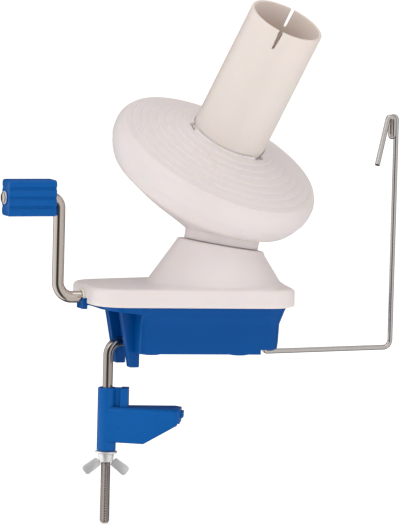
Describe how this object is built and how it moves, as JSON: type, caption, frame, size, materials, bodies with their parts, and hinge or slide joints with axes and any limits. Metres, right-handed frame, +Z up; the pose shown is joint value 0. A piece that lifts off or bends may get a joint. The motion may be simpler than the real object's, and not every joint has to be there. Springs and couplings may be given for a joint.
{
  "type": "yarn ball winder",
  "caption": "Table-clamped yarn ball winder: a hand crank turns a slanted terraced saucer with its spool tube, and a swinging wire arm guides the yarn.",
  "frame": {"origin": "centre of the seat pad on the underside of the base, below the middle of the turret; the base rests on the table with its underside at Z = 0", "axes": "+X from the crank towards the yarn guide, +Y away from the front, +Z up"},
  "size_m": [0.2436, 0.1291, 0.3125],
  "materials": {
    "white_plastic": "satin warm white moulding",
    "blue_plastic": "glossy blue moulding",
    "nylon": "natural nylon",
    "steel": "bright nickel-plated steel",
    "zinc": "zinc-plated steel",
    "wire": "plated steel wire"
  },
  "bodies": {
    "case": {"base_housing": "blue_plastic", "cover": "white_plastic", "case_screw_1": "steel", "case_screw_2": "steel", "case_screw_3": "steel", "case_screw_4": "steel", "crank_bush_outer": "nylon", "crank_bush_inner": "nylon", "sun_gear": "nylon", "clamp_rod": "steel"},
    "crank": {"crank": "steel", "crank_gear": "nylon", "grip_washer": "zinc"},
    "grip": {"crank_grip": "blue_plastic"},
    "rotor": {"main_shaft": "steel", "drive_pinion": "nylon", "shaft_screw": "steel", "rotor_bridge": "nylon", "rotor_dish": "white_plastic", "spool_spindle": "steel", "spindle_screw": "steel"},
    "spool": {"spool_gear": "nylon", "spool_hat": "white_plastic", "spool_tube": "white_plastic"},
    "follower": {"clamp_washer": "zinc"},
    "jaw": {"clamp_jaw": "blue_plastic"},
    "nut": {"wing_nut": "zinc"},
    "guide": {"yarn_guide": "wire", "guide_clip": "zinc"}
  },
  "joints": [
    {"name": "rotor_spin", "type": "hinge", "parent": "case", "child": "rotor", "pos_m": [0.0007, 0, 0.063], "axis": [0.1564, 0, 0.9877], "continuous": true},
    {"name": "crank_turn", "type": "hinge", "parent": "case", "child": "crank", "pos_m": [-0.00415, 0, 0.0324], "axis": [1, 0, 0], "continuous": true},
    {"name": "spool_spin", "type": "hinge", "parent": "rotor", "child": "spool", "pos_m": [0.01408, 0, 0.14745], "axis": [0.2554, -0.4385, 0.8617], "continuous": true},
    {"name": "grip_spin", "type": "hinge", "parent": "crank", "child": "grip", "pos_m": [-0.12, 0, 0.0914], "axis": [1, 0, 0], "continuous": true},
    {"name": "guide_swing", "type": "hinge", "parent": "case", "child": "guide", "pos_m": [0.018, -0.0296, 0.01], "axis": [0, 0, 1], "range_deg": [-75, 1]},
    {"name": "clamp_slide", "type": "slide", "parent": "case", "child": "follower", "axis": [0, 0, 1], "range_m": [-0.033, 0.012]},
    {"name": "jaw_swivel", "type": "hinge", "parent": "follower", "child": "jaw", "pos_m": [-0.069, 0, -0.04], "axis": [0, 0, 1], "continuous": true},
    {"name": "nut_turn", "type": "hinge", "parent": "follower", "child": "nut", "pos_m": [-0.069, 0, -0.064], "axis": [0, 0, 1], "range_deg": [-11880, 4320]}
  ],
  "couplings": [
    {"joint": "crank_turn", "follows": "rotor_spin", "ratio": -0.33333},
    {"joint": "spool_spin", "follows": "rotor_spin", "ratio": 0.5},
    {"joint": "nut_turn", "follows": "clamp_slide", "rad_per_m": 6283}
  ]
}
